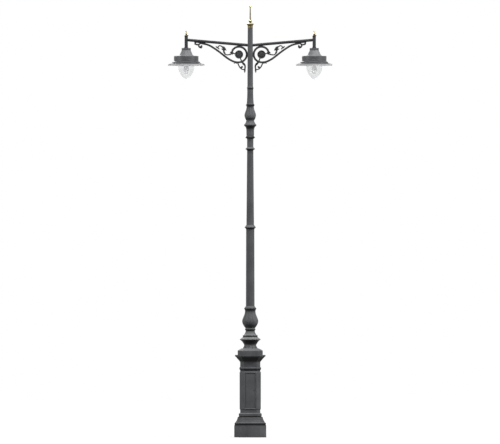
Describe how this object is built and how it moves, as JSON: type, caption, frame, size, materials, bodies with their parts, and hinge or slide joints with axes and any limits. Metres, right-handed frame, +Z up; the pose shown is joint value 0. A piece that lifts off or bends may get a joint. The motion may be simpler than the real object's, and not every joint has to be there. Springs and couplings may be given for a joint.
{
  "type": "double arm pole light",
  "caption": "Tall ornamental pole light: a cast pedestal and stepped column carry rising arms on scroll brackets, each with a hooded lantern and a clear glass bowl.",
  "frame": {"origin": "on the column's axis, at the underside of the plinth and of the foundation plate", "axes": "+Z up, X along the arms, and -Y out of the access door"},
  "size_m": [2.4689, 0.549, 6.475],
  "materials": {
    "painted_casting": "satin anthracite paint over cast iron",
    "painted_steel": "satin anthracite paint",
    "galvanised_steel": "dull galvanised",
    "painted_aluminium": "satin anthracite paint over spun aluminium",
    "satin_aluminium": "satin grey lacquer over cast aluminium, its top band anthracite",
    "pale_shade": "pale grey satin enamel over spun aluminium",
    "gilt_brass": "gilt, softly worn",
    "clear_glass": "clear pressed glass",
    "lamp_glass": "pearl glass envelope",
    "reflector_metal": "polished",
    "gasket_rubber": "matte",
    "steel_fasteners": "plain steel",
    "terminal_brass": "plain brass",
    "grey_board": "matte laminate",
    "black_plastic": "fine-grained",
    "red_plastic": "gloss",
    "white_porcelain": "glazed white"
  },
  "bodies": {
    "column": {"arm_left": "painted_steel", "arm_right": "painted_steel", "backboard": "grey_board", "base_moulding": "painted_casting", "base_plate": "galvanised_steel", "bowl_gaskets": "gasket_rubber", "cable_glands": "black_plastic", "canopy_left": "painted_aluminium", "canopy_right": "painted_aluminium", "cap_block": "painted_casting", "core_reducer": "galvanised_steel", "core_tube_lower": "galvanised_steel", "core_tube_upper": "galvanised_steel", "cornice": "painted_casting", "cup_collar": "painted_casting", "door_gasket": "gasket_rubber", "door_hinge_pins": "steel_fasteners", "earth_stud": "terminal_brass", "fluted_neck": "painted_casting", "foot_flare": "painted_casting", "gear_trays": "galvanised_steel", "grub_screws": "steel_fasteners", "hub_finials": "gilt_brass", "hub_left": "painted_steel", "hub_right": "painted_steel", "isolator_box": "black_plastic", "lamp_caps": "terminal_brass", "lampholders": "white_porcelain", "lamps": "lamp_glass", "lantern_neck_left": "satin_aluminium", "lantern_neck_right": "satin_aluminium", "lower_shaft": "painted_steel", "lower_vase": "painted_casting", "middle_ring": "painted_casting", "middle_shaft": "painted_steel", "pedestal_body": "painted_casting", "plinth": "painted_casting", "pole_finial": "gilt_brass", "reflectors": "reflector_metal", "ring_hinge_pins": "steel_fasteners", "rosettes": "painted_casting", "scroll_left": "painted_steel", "scroll_right": "painted_steel", "shade_left": "pale_shade", "shade_right": "pale_shade", "shade_screws": "steel_fasteners", "shoulder": "painted_casting", "spool": "painted_casting", "top_tube": "painted_steel", "upper_vase": "painted_casting", "vase_collar": "painted_casting"},
    "door": {"pedestal_door": "painted_casting"},
    "door_lock": {"door_lock": "steel_fasteners"},
    "isolator_lever": {"isolator_lever": "red_plastic"},
    "bowl_ring_left": {"bowl_ring_left": "painted_aluminium", "glass_bowl_left": "clear_glass"},
    "bowl_ring_right": {"bowl_ring_right": "painted_aluminium", "glass_bowl_right": "clear_glass"},
    "bowl_screw_left": {"bowl_screw_left": "steel_fasteners"},
    "bowl_screw_right": {"bowl_screw_right": "steel_fasteners"}
  },
  "joints": [
    {"name": "door_hinge", "type": "hinge", "parent": "column", "child": "door", "pos_m": [-0.071, -0.147, 0.6995], "axis": [0, 0, -1], "range_deg": [0, 100]},
    {"name": "door_lock_turn", "type": "hinge", "parent": "door", "child": "door_lock", "pos_m": [0.055, -0.151, 0.6995], "axis": [0, -1, 0], "range_deg": [0, 90]},
    {"name": "isolator_lever", "type": "hinge", "parent": "column", "child": "isolator_lever", "pos_m": [0, -0.10645, 0.6995], "axis": [1, 0, 0], "range_deg": [0, 50]},
    {"name": "bowl_ring_left_hinge", "type": "hinge", "parent": "column", "child": "bowl_ring_left", "pos_m": [-0.96, 0.158, 5.5958], "axis": [1, 0, 0], "range_deg": [0, 80]},
    {"name": "bowl_screw_left_turn", "type": "hinge", "parent": "bowl_ring_left", "child": "bowl_screw_left", "pos_m": [-0.96, -0.158, 5.59], "axis": [0, 0, 1], "range_deg": [0, 90]},
    {"name": "bowl_ring_right_hinge", "type": "hinge", "parent": "column", "child": "bowl_ring_right", "pos_m": [0.96, 0.158, 5.5958], "axis": [1, 0, 0], "range_deg": [0, 80]},
    {"name": "bowl_screw_right_turn", "type": "hinge", "parent": "bowl_ring_right", "child": "bowl_screw_right", "pos_m": [0.96, -0.158, 5.59], "axis": [0, 0, 1], "range_deg": [0, 90]}
  ]
}
